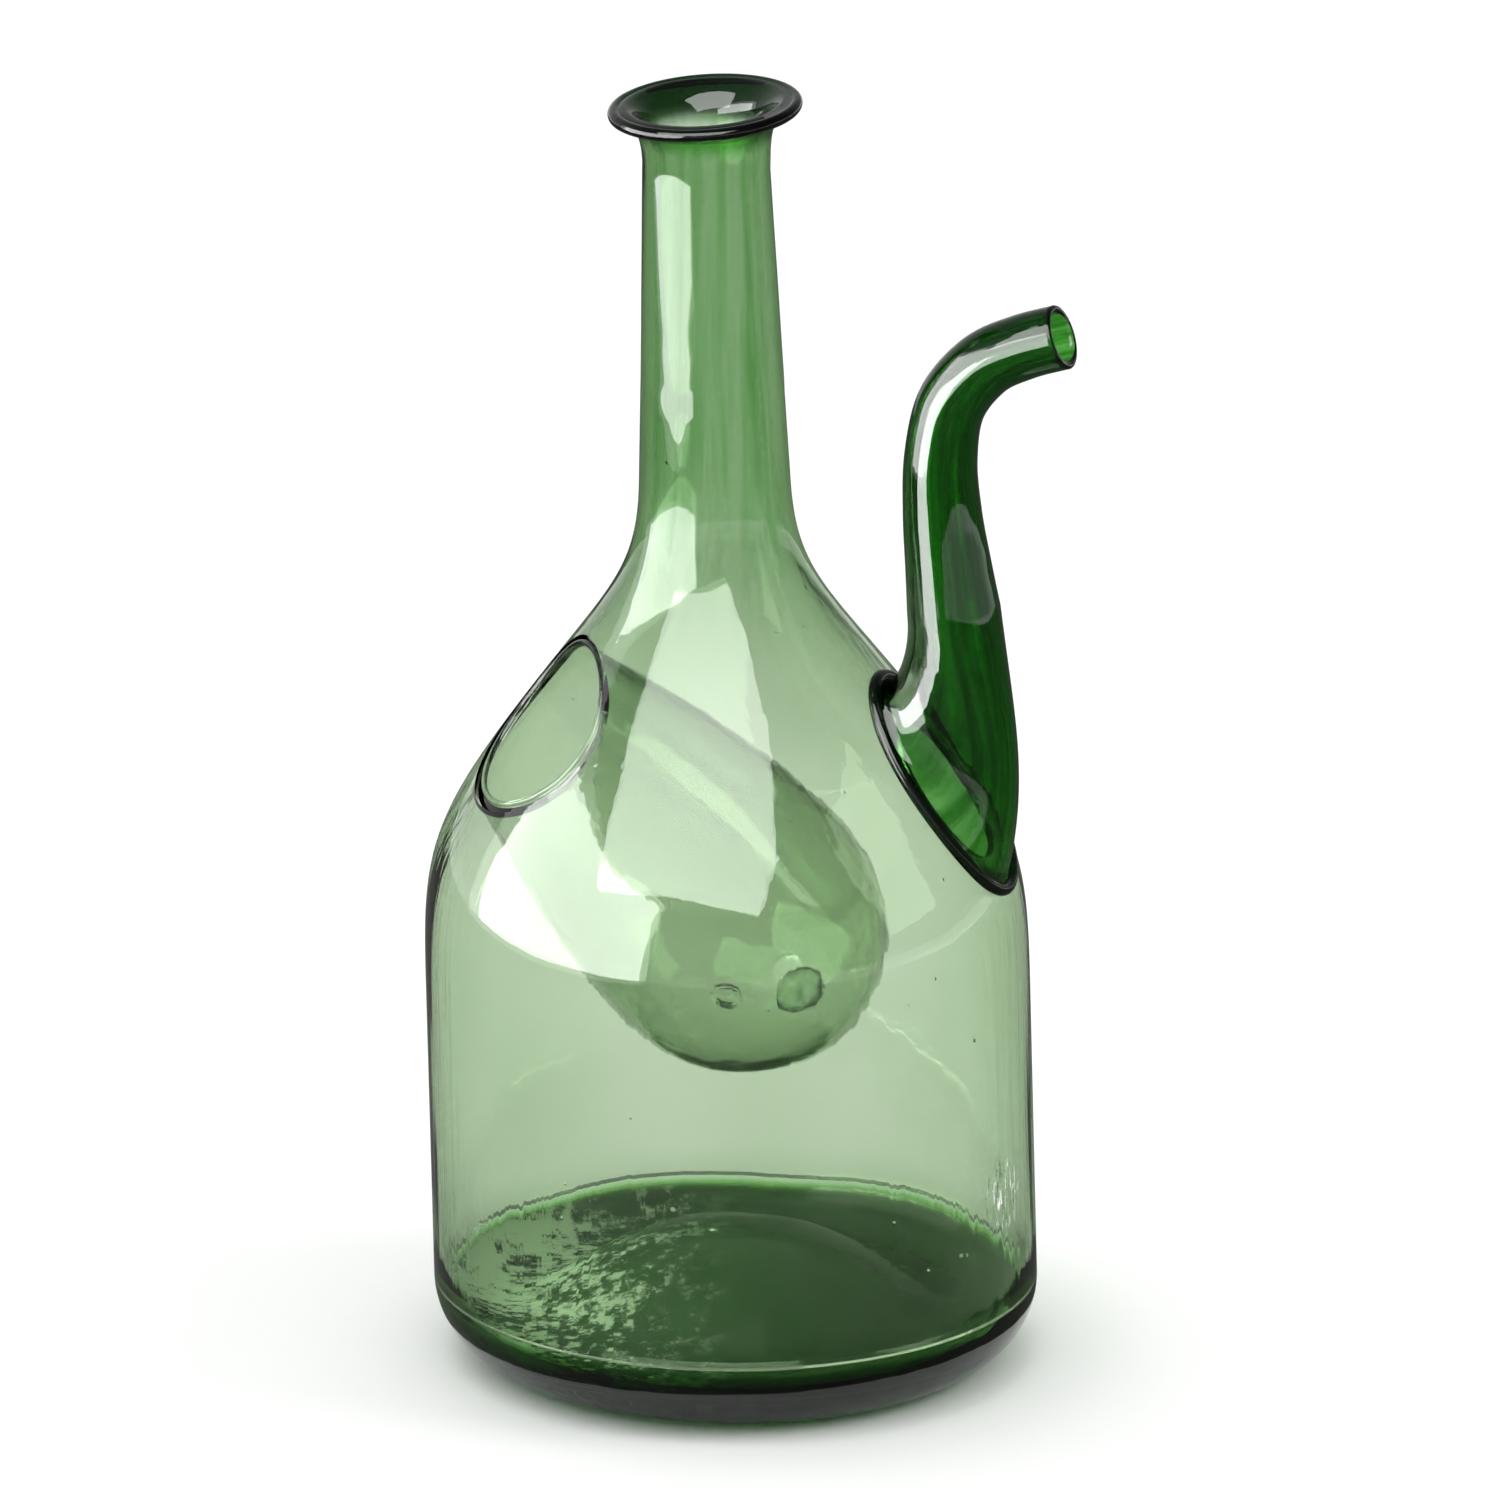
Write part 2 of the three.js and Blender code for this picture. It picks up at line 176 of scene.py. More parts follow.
class SpoutSizes(bpy.types.PropertyGroup):
    """Sizes of the pouring spout."""

    foot_height: length("Foot height", "Height of the middle of the foot", 144.5)
    foot_half_height: length("Foot half height", "Half the height of the foot", 23.6)
    foot_half_width: length("Foot half width", "Half the width of the foot", 16.4)
    foot_edge: length("Foot edge", "Radius of the rolled edge round the foot", 1.5)
    tube_radius: length("Tube radius", "Outer radius where the foot turns into the tube", 11)
    mouth_radius: length("Mouth radius", "Outer radius at the spout's mouth", 7.6)
    wall: length("Wall", "Thickness of the spout's wall", 2)


class GlassColours(bpy.types.PropertyGroup):
    """Colours that the light takes on its way through each sort of glass."""

    wall_tint: colour("Wall tint", "Colour of light after its way through the wall", (0.56, 0.7, 0.5))
    wall_depth: factor("Wall depth", "Strength of the wall's colour per metre", 480)
    base_tint: colour("Base tint", "Colour of light after its way through the base", (0.36, 0.69, 0.28))
    base_depth: factor("Base depth", "Strength of the base's colour per metre", 330)
    spout_tint: colour("Spout tint", "Colour of light after its way through the spout", (0.4, 0.713, 0.333))
    spout_depth: factor("Spout depth", "Strength of the spout's colour per metre", 2000)
    scale_colour: colour("Lime scale", "Colour of the dried scale on the floor", (0.62, 0.76, 0.56))


class StageSettings(bpy.types.PropertyGroup):
    """The camera, the light and the floor."""

    view_direction: angle("View direction", "Side from which the decanter is seen", 18)
    view_height: angle("View height", "How far the view looks down", 18.7)
    distance: length("Distance", "From the camera to the decanter", 8000)
    lens: factor("Lens", "Focal length in millimetres", 822.9)
    aim_height: length("Aim height", "Height on the body's axis that the view is set by", 150)
    aim_right: length("Aim right", "The view's middle, to the right of the axis", 2.93)
    aim_down: length("Aim down", "The view's middle, below the aim height", 2.65)
    floor_colour: colour("Floor", "Colour of the floor", (0.86, 0.86, 0.85))
    sky_strength: factor("Sky strength", "Strength of the light from all round", 0.75)
    window_strength: factor("Window strength", "Power of the big window light in watts", 11)


# ---- shapes -----------------------------------------------------------------------------------
def at(radius, height):
    """A point of a section: distance from the axis, and height."""
    return Vector((radius, 0, height))


def run(start, leave, arrive, end, count):
    """Points of a smooth curve from start to end, both included."""
    return interpolate_bezier(start, leave, arrive, end, count + 1)


def joined(*runs):
    """One outline made of several, with shared ends kept once."""
    points = []
    for part in runs:
        points += [point for point in part if not points or (point - points[-1]).length > 0.01 * MM]
    return points


def set_in(outline, depth):
    """The outline moved sideways by a depth, or by a depth for each of its points."""
    depths = depth if isinstance(depth, list) else [depth] * len(outline)
    moved = []
    for i, point in enumerate(outline):
        ahead = outline[min(i + 1, len(outline) - 1)]
        behind = outline[max(i - 1, 0)]
        along = (ahead - behind).normalized()
        moved.append(point + Vector((-along.z, 0, along.x)) * depths[i])
    return moved


def arc(centre, radius, start, end, count):
    """Points of an arc in the section's plane, from one angle to another in degrees."""
    points = []
    for i in range(count + 1):
        turn = math.radians(start + (end - start) * i / count)
        points.append(centre + Vector((math.cos(turn), 0, math.sin(turn))) * radius)
    return points


def closed_up(shape):
    """Merges doubles, turns the faces outwards and smooths them."""
    bmesh.ops.remove_doubles(shape, verts=shape.verts, dist=0.005 * MM)
    bmesh.ops.recalc_face_normals(shape, faces=shape.faces)
    for face in shape.faces:
        face.smooth = True
    return shape


def spun(section, around, ring=False):
    """A shape turned about Z from a section, which is a ring or ends on the axis."""
    shape = bmesh.new()
    corners = [shape.verts.new(point) for point in section]
    links = [shape.edges.new(pair) for pair in zip(corners, corners[1:])]
    if ring:
        links.append(shape.edges.new((corners[-1], corners[0])))
    bmesh.ops.spin(
        shape,
        geom=corners + links,
        cent=(0, 0, 0),
        axis=(0, 0, 1),
        angle=FULL_TURN,
        steps=around,
        use_merge=True,
    )
    return closed_up(shape)


def drawn(rings, around):
    """A closed skin drawn through rings; each ring gives a point for an angle.

    Every point keeps its direction round the ring and its place along it as the grain.
    """
    shape = bmesh.new()
    spoke = shape.verts.layers.int.new("spoke")
    grain = shape.verts.layers.float_vector.new("grain")
    start = bmesh.ops.create_circle(shape, segments=around, radius=1)["verts"]
    for i, corner in enumerate(start):
        corner[spoke] = i

    def place(corners, ring, share):
        for corner in corners:
            turn = FULL_TURN * corner[spoke] / around
            corner.co = ring(turn)
            corner[grain] = (math.cos(turn), math.sin(turn), share)

    place(start, rings[0], 0)
    edges = shape.edges[:]
    for i, ring in enumerate(rings[1:] + rings[:1]):
        made = bmesh.ops.extrude_edge_only(shape, edges=edges)["geom"]
        edges = [part for part in made if isinstance(part, bmesh.types.BMEdge)]
        edges = [edge for edge in edges if all(v in made for v in edge.verts)]
        corners = [part for part in made if isinstance(part, bmesh.types.BMVert)]
        place(corners, ring, (i + 1) / len(rings))
    return closed_up(shape)


def as_object(name, shape):
    """Puts a finished shape in the scene."""
    mesh = bpy.data.meshes.new(name)
    shape.to_mesh(mesh)
    shape.free()
    piece = bpy.data.objects.new(name, mesh)
    bpy.context.scene.collection.objects.link(piece)
    return piece


def carved(piece, tool, operation):
    """Cuts a piece with a tool, or keeps what both fill, and takes the tool away."""
    cut = piece.modifiers.new("carve", "BOOLEAN")
    cut.operation = operation
    cut.object = tool
    cut.solver = "EXACT"
    graph = bpy.context.evaluated_depsgraph_get()
    mesh = bpy.data.meshes.new_from_object(piece.evaluated_get(graph))
    piece.modifiers.remove(cut)
    piece.data = mesh
    bpy.data.objects.remove(tool)


def leaning(sizes):
    """The lean of the whole decanter, and the place of its axis."""
    lean = Matrix.Identity(4)
    lean[0][2] = -sizes.lean
    lean[0][3] = sizes.axis_offset
    return lean


def fitted(piece, glass, slot, *nodes):
    """Leans a piece with the rest, gives it its glass and ties it to the frame."""
    piece.data.transform(leaning(bpy.context.scene.decanter_bubble))
    piece.data.materials.clear()
    piece.data.materials.append(glass)
    piece.data.set_sharp_from_angle(angle=math.radians(50))
    piece.data.update()
    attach(piece, BODY)
    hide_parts(*nodes)


# ---- outline of the body ----------------------------------------------------------------------
def wall_outline(sizes):
    """Outer outline of the bubble, from the seam to the foot of the neck."""
    shoulder = at(sizes.body_radius, sizes.shoulder_start)
    hollow = at(sizes.shoulder_radius, sizes.shoulder_height)
    neck = at(sizes.neck_foot_radius, sizes.neck_foot_height)
    bottom = at(sizes.body_radius, sizes.seam_height + SEAM)
    third = (shoulder - bottom) / 3
    return joined(
        run(bottom, bottom + third, shoulder - third, shoulder, 24),
        run(shoulder, shoulder + UP * 35.7 * MM, shoulder + UP * 39.5 * MM, hollow, 44),
        run(hollow, at(25 * MM, 186 * MM), at(18.5 * MM, 191.8 * MM), neck, 26),
    )


def radius_at(outline, height):
    """Radius of the outer surface at a height."""
    for low, high in zip(outline, outline[1:]):
        if high.z >= height:
            share = max(0, (height - low.z) / (high.z - low.z))
            return low.x + (high.x - low.x) * share
    return outline[-1].x


def neck_and_lip(sizes):
    """Outer outline from the foot of the neck to the underside of the rolled lip."""
    foot = at(sizes.neck_foot_radius, sizes.neck_foot_height)
    top = at(sizes.neck_radius, sizes.neck_height)
    middle = at(16.2 * MM, 250 * MM)
    flare_end = at(sizes.lip_radius - 0.6 * MM, sizes.lip_height - 1.1 * MM)
    return joined(
        run(foot, foot.lerp(middle, 0.33), middle.lerp(foot, 0.33), middle, 12),
        run(middle, middle.lerp(top, 0.33), top.lerp(middle, 0.33), top, 12),
        run(top, top + UP * 9.5 * MM, top + Vector((1.6, 0, 12.6)) * MM, flare_end, 14),
    )


def bubble_section(sizes):
    """Closed section of the whole bubble: wall, shoulder, neck and rolled lip."""
    wall = wall_outline(sizes)
    upper = neck_and_lip(sizes)
    outer = joined(wall, upper)
    depths = []
    for point in outer:
        share = (point.z - 150 * MM) / (65 * MM)
        share = min(max(share, 0), 1)
        low = max(1 - (point.z - sizes.seam_height) / sizes.thickening, 0)
        extra = (sizes.seam_wall - sizes.wall) * low * low
        depths.append(sizes.wall + (sizes.neck_wall - sizes.wall) * share + extra)
    inner = set_in(outer, depths)
    inner[0] = at(sizes.body_radius - sizes.seam_wall, sizes.seam_height + SEAM)
    roll = arc(at(sizes.lip_radius, sizes.lip_height), sizes.lip_roll, -110, 130, 16)
    keep = [
        point
        for point in inner
        if point.z < sizes.neck_height or point.x < sizes.lip_radius - 2.2 * MM
    ]
    return joined(outer, roll, keep[::-1])


def tool_lip(shape, sizes):
    """Tilts the lip a little, more the higher it is."""
    side = Vector((math.cos(sizes.lip_tilt_direction), math.sin(sizes.lip_tilt_direction), 0))
    reach = sizes.lip_height - sizes.neck_height - 3 * MM
    for corner in shape.verts:
        share = min(max((corner.co.z - sizes.neck_height) / reach, 0), 1)
        share = share * share * (3 - 2 * share)
        corner.co.z += corner.co.dot(side) * math.tan(sizes.lip_tilt) * share


def uneven_inside(shape, sizes, outline):
    """Makes the wall's inner face a little uneven, as blowing leaves it."""
    for corner in shape.verts:
        spot = corner.co
        reach = math.hypot(spot.x, spot.y)
        if spot.z > sizes.neck_height or spot.z < sizes.seam_height + 1 * MM:
            continue
        if reach > radius_at(outline, spot.z) - sizes.wall * 0.5:
            continue
        fade = min((spot.z - sizes.seam_height) / (25 * MM), 1)
        shift = noise.noise(Vector((spot.x, spot.y, spot.z * 0.5)) * 38) * sizes.waviness * fade
        corner.co += Vector((spot.x, spot.y, 0)).normalized() * shift


# ---- pocket -----------------------------------------------------------------------------------
def pocket_place(sizes):
    """Turns a shape made along Z so that it goes in from the pocket's mouth."""
    mouth = Vector(
        (
            sizes.mouth_distance * math.cos(sizes.direction),
            sizes.mouth_distance * math.sin(sizes.direction),
            sizes.mouth_height,
        )
    )
    inwards = at(0, sizes.crossing) - mouth
    return Matrix.Translation(mouth) @ UP.rotation_difference(inwards).to_matrix().to_4x4()


def pear_outline(sizes, outside):
    """Outline of the pocket from outside the mouth to its round end."""
    mouth = at(sizes.mouth_radius, 0)
    widest = at(sizes.radius, sizes.widest)
    tip = at(0, sizes.depth)
    return joined(
        [at(sizes.mouth_radius, outside), at(sizes.mouth_radius, outside / 2)],
        run(
            mouth,
            at(sizes.mouth_radius + 5 * MM, sizes.widest * 0.3),
            at(sizes.radius, sizes.widest * 0.62),
            widest,
            36,
        ),
        run(widest, widest + UP * 22 * MM, at(sizes.radius * 0.55, sizes.depth), tip, 36),
    )


def pear(sizes, grow, outside):
    """The pocket's filled shape, larger all round by grow."""
    outline = set_in(pear_outline(sizes, outside), -grow)
    outline[-1] = at(0, sizes.depth + grow)
    shape = spun([at(0, outside)] + outline, 96)
    bmesh.ops.transform(shape, matrix=pocket_place(sizes), verts=shape.verts)
    return as_object("pear", shape)


def mouth_curve(sizes, outline, count):
    """Middle of the thickened edge of the mouth: a closed curve just under the shoulder."""
    place = pocket_place(sizes)
    radius = sizes.mouth_radius - sizes.wall / 2
    points = []
    for i in range(count):
        turn = FULL_TURN * i / count
        low, high = -HOLE_ROOM, 30 * MM
        for _ in range(30):
            along = (low + high) / 2
            spot = place @ Vector((radius * math.cos(turn), radius * math.sin(turn), along))
            if math.hypot(spot.x, spot.y) > radius_at(outline, spot.z) - sizes.edge_depth:
                low = along
            else:
                high = along
        points.append(spot)
    return points


def rolled_edge(points, radius, around):
    """A closed roll of glass along a curve that goes round a hole in the shoulder."""
    count = len(points)

    def ring(i):
        along = (points[(i + 1) % count] - points[i - 1]).normalized()
        outwards = Vector((points[i].x, points[i].y, 0)).normalized()
        side = along.cross(outwards).normalized()
        face = side.cross(along)
        centre = points[i]
        return lambda turn: centre + (face * math.cos(turn) + side * math.sin(turn)) * radius

    return drawn([ring(i) for i in range(count)], around)


# ---- spout ------------------------------------------------------------------------------------
# Middle of the round tube above the foot, as distance from the axis and height, in millimetres.
SPOUT_ROUTE = (
    (57.8, 187),
    (56.8, 197),
    (55.6, 210),
    (55.5, 224),
    (58.4, 237.4),
    (66.4, 247.6),
    (76, 253),
    (86.1, 256.6),
)


def smooth_route():
    """Evenly spaced points of the tube's middle line."""
    knots = [at(x * MM, z * MM) for x, z in SPOUT_ROUTE]
    ends = [knots[0] * 2 - knots[1]] + knots + [knots[-1] * 2 - knots[-2]]
    fine = [knots[0]]
    for before, start, end, after in zip(ends, ends[1:], ends[2:], ends[3:]):
        fine += run(start, start + (end - before) / 6, end - (after - start) / 6, end, 24)[1:]
    spans = [0]
    for low, high in zip(fine, fine[1:]):
        spans.append(spans[-1] + (high - low).length)
    points = []
    count = 60
    k = 0
    for i in range(count + 1):
        goal = spans[-1] * i / count
        while k < len(spans) - 2 and spans[k + 1] < goal:
            k += 1
        share = (goal - spans[k]) / (spans[k + 1] - spans[k])
        points.append(fine[k].lerp(fine[k + 1], share))
    return points


def tube_ring(route, i, sizes, inset):
    """A ring of the round tube at one point of its route."""
    share = i / (len(route) - 1)
    along = (route[min(i + 1, len(route) - 1)] - route[max(i - 1, 0)]).normalized()
    side = Vector((0, 1, 0))
    towards_neck = along.cross(side)
    taper = sizes.tube_radius - sizes.mouth_radius
    radius = sizes.mouth_radius + taper * (1 - share) ** 2.2 - inset
    centre = route[i]

    def ring(turn):
        return centre + (towards_neck * math.cos(turn) + side * math.sin(turn)) * radius

    return ring


def foot_point(outline, sizes, turn, inset, lift):
    """A point on the foot's outline, standing off the shoulder by lift."""
    height = sizes.foot_height + (sizes.foot_half_height - inset) * math.cos(turn)
    across = (sizes.foot_half_width - inset) * math.sin(turn)
    reach = math.sqrt((radius_at(outline, height) + lift) ** 2 - across**2)
    return Vector((reach, across, height))


def flare_ring(outline, route, sizes, share, inset):
    """A ring of the foot, between its outline on the shoulder and the round tube."""
    tube = tube_ring(route, 0, sizes, inset)
    upwards = (route[1] - route[0]).normalized()

    def ring(turn):
        start = foot_point(outline, sizes, turn, inset * 1.3, GAP * 1.5)
        end = tube(turn)
        chord = end - start
        inner = foot_point(outline, sizes, turn, inset * 1.3 + 6 * MM, 5.5 * MM)
        away = (inner - start).normalized()
        away = away.lerp(chord.normalized(), max(-math.cos(turn), 0) * 0.45).normalized()
        top = max(math.cos(turn), 0)
        reach = chord.length
        leave = start + away * (reach * 0.42 * (1 - top) + 5 * MM * top)
        arrive = end - upwards * (reach * 0.4 * (1 - top) + 9 * MM * top)
        left = 1 - share
        return (
            start * left**3
            + leave * 3 * left * left * share
            + arrive * 3 * left * share * share
            + end * share**3
        )

    return ring


def spout_shape(outline, sizes):
    """The spout's skin: out along the outer face, over the rim and back along the inner one."""
    route = smooth_route()
    last = len(route) - 1
    steps = 26
    rim = 0.9 * MM
    outer = [flare_ring(outline, route, sizes, i / steps, 0) for i in range(steps)]
    outer += [tube_ring(route, i, sizes, 0) for i in range(last)]
    inner = [tube_ring(route, i, sizes, sizes.wall) for i in range(last - 1, -1, -1)]
    inner += [
        flare_ring(outline, route, sizes, i / steps, sizes.wall) for i in range(steps - 1, -1, -1)
    ]
    end = route[last]
    along = (route[last] - route[last - 1]).normalized()
    lips = []
    for i in range(1, 8):
        turn = math.pi * i / 8
        inset = sizes.wall / 2 * (1 - math.cos(turn)) - 0.25 * MM * math.sin(turn)
        back = rim * (1 - math.sin(turn))
        lips.append(rim_ring(end - along * back, along, sizes.mouth_radius - inset))
    return drawn(outer + lips + inner, 64)


def rim_ring(centre, along, radius):
    """A ring of the spout's rounded mouth."""
    side = Vector((0, 1, 0))
    towards_neck = along.cross(side)
    return lambda turn: centre + (towards_neck * math.cos(turn) + side * math.sin(turn)) * radius


def spout_hole(outline, sizes):
    """The hole blown through the shoulder under the spout's foot."""
    shape = bmesh.new()
    bmesh.ops.create_uvsphere(shape, u_segments=64, v_segments=32, radius=1)
    bmesh.ops.scale(shape, vec=Vector((14, 12.5, 19)) * MM, verts=shape.verts)
    step = 8 * MM
    below = radius_at(outline, sizes.foot_height - step)
    above = radius_at(outline, sizes.foot_height + step)
    slope = math.atan2(below - above, 2 * step)
    reach = radius_at(outline, sizes.foot_height)
    turn = Matrix.Rotation(-slope, 4, "Y")
    place = Matrix.Translation((reach, 0, sizes.foot_height)) @ turn
    bmesh.ops.transform(shape, matrix=place, verts=shape.verts)
    return as_object("spout_hole", shape)


# ---- glass ------------------------------------------------------------------------------------
class Recipe:
    """Builds the nodes of one material."""

    def __init__(self, name):
        self.material = bpy.data.materials.new(name)
        self.material.use_nodes = True
        self.tree = self.material.node_tree
        self.shader = self.tree.nodes["Principled BSDF"]
        self.output = self.tree.nodes["Material Output"]
        self.place = self.tree.nodes.new("ShaderNodeTexCoord").outputs["Object"]

    def add(self, kind, **settings):
        node = self.tree.nodes.new(kind)
        for key, value in settings.items():
            setattr(node, key, value)
        return node

    def feed(self, socket, source):
        if isinstance(source, bpy.types.NodeSocket):
            self.tree.links.new(source, socket)
        else:
            socket.default_value = source

    def stretched(self, scale, source=None, location=(0, 0, 0)):
        """The place of a point, stretched and moved."""
        node = self.add("ShaderNodeMapping")
        self.feed(node.inputs["Vector"], source or self.place)
        node.inputs["Scale"].default_value = scale
        node.inputs["Location"].default_value = location
        return node.outputs["Vector"]

    def clouds(self, vector, scale, detail=3.0, roughness=0.5):
        node = self.add("ShaderNodeTexNoise")
        self.feed(node.inputs["Vector"], vector)
        node.inputs["Scale"].default_value = scale
        node.inputs["Detail"].default_value = detail
        node.inputs["Roughness"].default_value = roughness
        return node.outputs["Fac"]

    def cells(self, vector, scale):
        node = self.add("ShaderNodeTexVoronoi")
        self.feed(node.inputs["Vector"], vector)
        node.inputs["Scale"].default_value = scale
        return node.outputs["Distance"]

    def ranged(self, value, low, high, to_low=0.0, to_high=1.0):
        """A value spread from one range to another, smoothly and clamped."""
        node = self.add("ShaderNodeMapRange", interpolation_type="SMOOTHSTEP")
        self.feed(node.inputs["Value"], value)
        node.inputs["From Min"].default_value = low
        node.inputs["From Max"].default_value = high
        node.inputs["To Min"].default_value = to_low
        node.inputs["To Max"].default_value = to_high
        return node.outputs["Result"]

    def maths(self, operation, first, second=0.0):
        node = self.add("ShaderNodeMath", operation=operation)
        self.feed(node.inputs[0], first)
        self.feed(node.inputs[1], second)
        return node.outputs["Value"]

    def blend(self, share, first, second):
        """A colour between two, by a share."""
        node = self.add("ShaderNodeMix", data_type="RGBA")
        self.feed(node.inputs["Factor"], share)
        self.feed(node.inputs["A"], first)
        self.feed(node.inputs["B"], second)
        return [out for out in node.outputs if out.type == "RGBA"][0]

    def parts(self, vector):
        node = self.add("ShaderNodeSeparateXYZ")
        self.feed(node.inputs["Vector"], vector)
        return node.outputs

    def bump(self, height, distance, strength, below=None):
        node = self.add("ShaderNodeBump")
        self.feed(node.inputs["Height"], height)
        node.inputs["Distance"].default_value = distance
        node.inputs["Strength"].default_value = strength
        if below:
            self.feed(node.inputs["Normal"], below)
        return node.outputs["Normal"]

    def clear_glass(self, tint, depth, surface):
        """Sets the shader to glass that takes its colour from its thickness."""
        self.shader.inputs["Transmission Weight"].default_value = 1
        self.shader.inputs["IOR"].default_value = 1.5
        self.shader.inputs["Roughness"].default_value = 0.0
        self.shader.inputs["Base Color"].default_value = surface
        inside = self.add("ShaderNodeVolumeAbsorption")
        inside.inputs["Color"].default_value = (*tint, 1)
        inside.inputs["Density"].default_value = depth
        self.feed(self.output.inputs["Volume"], inside.outputs["Volume"])

    def distance(self, spot):
        """How far a point is from a spot."""
        node = self.add("ShaderNodeVectorMath", operation="DISTANCE")
        self.feed(node.inputs[0], self.place)
        node.inputs[1].default_value = spot
        return node.outputs["Value"]

    def seeds(self, scale, size):
        """Tiny bubbles caught in the glass, at random places."""
        far = self.cells(self.place, scale)
        return self.ranged(far, 0, size, 1, 0)


def wall_glass(colours):
    """Pale green glass of the body, greener in the neck, with a few seeds; the lip has painted shade at the
    back and painted light at the front.
    """
    made = Recipe("wall_glass")
    made.clear_glass(colours.wall_tint, colours.wall_depth, CLEAR_TINT)
    waves = made.clouds(made.stretched((60, 60, 11)), 1.0, 1.5)
    normal = made.bump(waves, 0.9 * MM, 0.35)
    streaks = made.clouds(made.stretched((420, 420, 9)), 1.0, 1.0)
    normal = made.bump(streaks, 0.05 * MM, 0.6, normal)
    normal = made.bump(made.seeds(75, 0.045), 0.25 * MM, 0.8, normal)
    made.feed(made.shader.inputs["Normal"], normal)

    x, y, height = made.parts(made.place)
    nearer = made.maths(
        "SUBTRACT", made.maths("MULTIPLY", x, RIGHT_Y), made.maths("MULTIPLY", y, RIGHT_X)
    )
    neck = made.ranged(height, 0.145, 0.22)
    veins = made.clouds(made.stretched((230, 230, 7)), 1.0, 2.0)
    veins = made.maths(
        "MULTIPLY", made.ranged(veins, 0.48, 0.66), made.ranged(height, 0.17, 0.225)
    )
    pale = made.blend(veins, made.blend(neck, BODY_TINT, NECK_TINT), VEIN_TINT)
    # Painted shade and painted light on the lip: near-black green on the side away from the view, brighter
    # green on the near side.
    lip_painted_light_and_shade = made.blend(made.ranged(nearer, 0.002, 0.01), LIP_BACK_PAINTED_SHADE, LIP_FRONT_PAINTED_LIGHT)
    # Above 0.2945 m the lip takes this painted shade and light in place of the glass's own tints.
    tint = made.blend(made.ranged(height, 0.2945, 0.2995), pale, lip_painted_light_and_shade)

    scuffs = made.clouds(made.stretched((700, 700, 160)), 1.0, 4.0, 0.7)
    near = made.ranged(made.distance(SCUFF_PLACE), 0.012, 0.003)
    scuffs = made.maths("MULTIPLY", made.ranged(scuffs, 0.56, 0.62), near)
    made.feed(made.shader.inputs["Base Color"], made.blend(scuffs, tint, SCUFF_TINT))
    made.feed(made.shader.inputs["Transmission Weight"], made.maths("SUBTRACT", 1.0, scuffs))
    made.feed(made.shader.inputs["Roughness"], made.maths("MULTIPLY", scuffs, 0.6))
    return made.material


def base_glass(colours):
    """Thick deep green glass, with dried scale on the floor inside; the heel and the inner floor are
    darkened further with painted shade, and the inner floor lets little light through.
    """
    made = Recipe("base_glass")
    made.clear_glass(colours.base_tint, colours.base_depth, CLEAR_TINT)
    x, y, z = made.parts(made.place)
    reach = made.add("ShaderNodeVectorMath", operation="LENGTH")
    made.feed(reach.inputs[0], made.stretched((1, 1, 0), None, (0.0045, 0, 0)))
    face_way = made.add("ShaderNodeNewGeometry").outputs["Normal"]
    upwards = made.ranged(made.parts(face_way)[2], 0.15, 0.4)
    low = made.ranged(z, 0.0175, 0.016)
    dome = made.ranged(reach.outputs["Value"], 0.056, 0.05)
    inside = made.maths("MULTIPLY", upwards, made.maths("MAXIMUM", low, dome))

    across = made.maths(
        "ADD", made.maths("MULTIPLY", x, RIGHT_X), made.maths("MULTIPLY", y, RIGHT_Y)
    )
    side = made.ranged(across, -0.024, -0.066)
    rough = made.clouds(made.place, 240, 8, 0.72)
    patches = made.clouds(made.place, 55, 3, 0.6)
    crust = made.maths("ADD", made.maths("MULTIPLY", rough, 1.1), made.maths("MULTIPLY", patches, 0.45))
    crust = made.maths("ADD", crust, made.maths("MULTIPLY", side, 0.14))
    crust = made.ranged(crust, 0.78, 0.93)
    crust = made.maths("MULTIPLY", crust, made.ranged(across, 0.0, -0.05))
    specks = made.ranged(made.cells(made.place, 150), 0.16, 0.08)
    sparse = made.clouds(made.stretched((1, 1, 1), None, (0.3, 0.1, 0)), 35, 2)
    specks = made.maths("MULTIPLY", specks, made.ranged(sparse, 0.56, 0.62))
    scale = made.maths("MULTIPLY", made.maths("MAXIMUM", crust, specks), inside)
    scale = made.maths("MULTIPLY", scale, 0.92)

    # Painted shade: the heel, and darker still the inner floor, take a deeper green than the glass alone
    # gives.
    clear = made.blend(inside, made.blend(low, CLEAR_TINT, HEEL_GREEN_AND_PAINTED_SHADE), FLOOR_GREEN_AND_PAINTED_SHADE)
    made.feed(
        made.shader.inputs["Base Color"], made.blend(scale, clear, (*colours.scale_colour, 1))
    )
    # The inner floor is mostly opaque so that its painted shade shows; the scale also blocks light.
    scale_and_painted_shade = made.maths("MAXIMUM", scale, made.maths("MULTIPLY", inside, 0.78))
    made.feed(made.shader.inputs["Transmission Weight"], made.maths("SUBTRACT", 1.0, scale_and_painted_shade))
    made.feed(made.shader.inputs["Roughness"], made.maths("MULTIPLY", scale, 0.7))
    made.shader.inputs["Specular IOR Level"].default_value = 0.0
    normal = made.bump(made.clouds(made.stretched((45, 45, 45)), 1.0, 2), 0.8 * MM, 0.6)
    made.feed(made.shader.inputs["Normal"], made.bump(scale, 0.3 * MM, 0.5, normal))
    return made.material


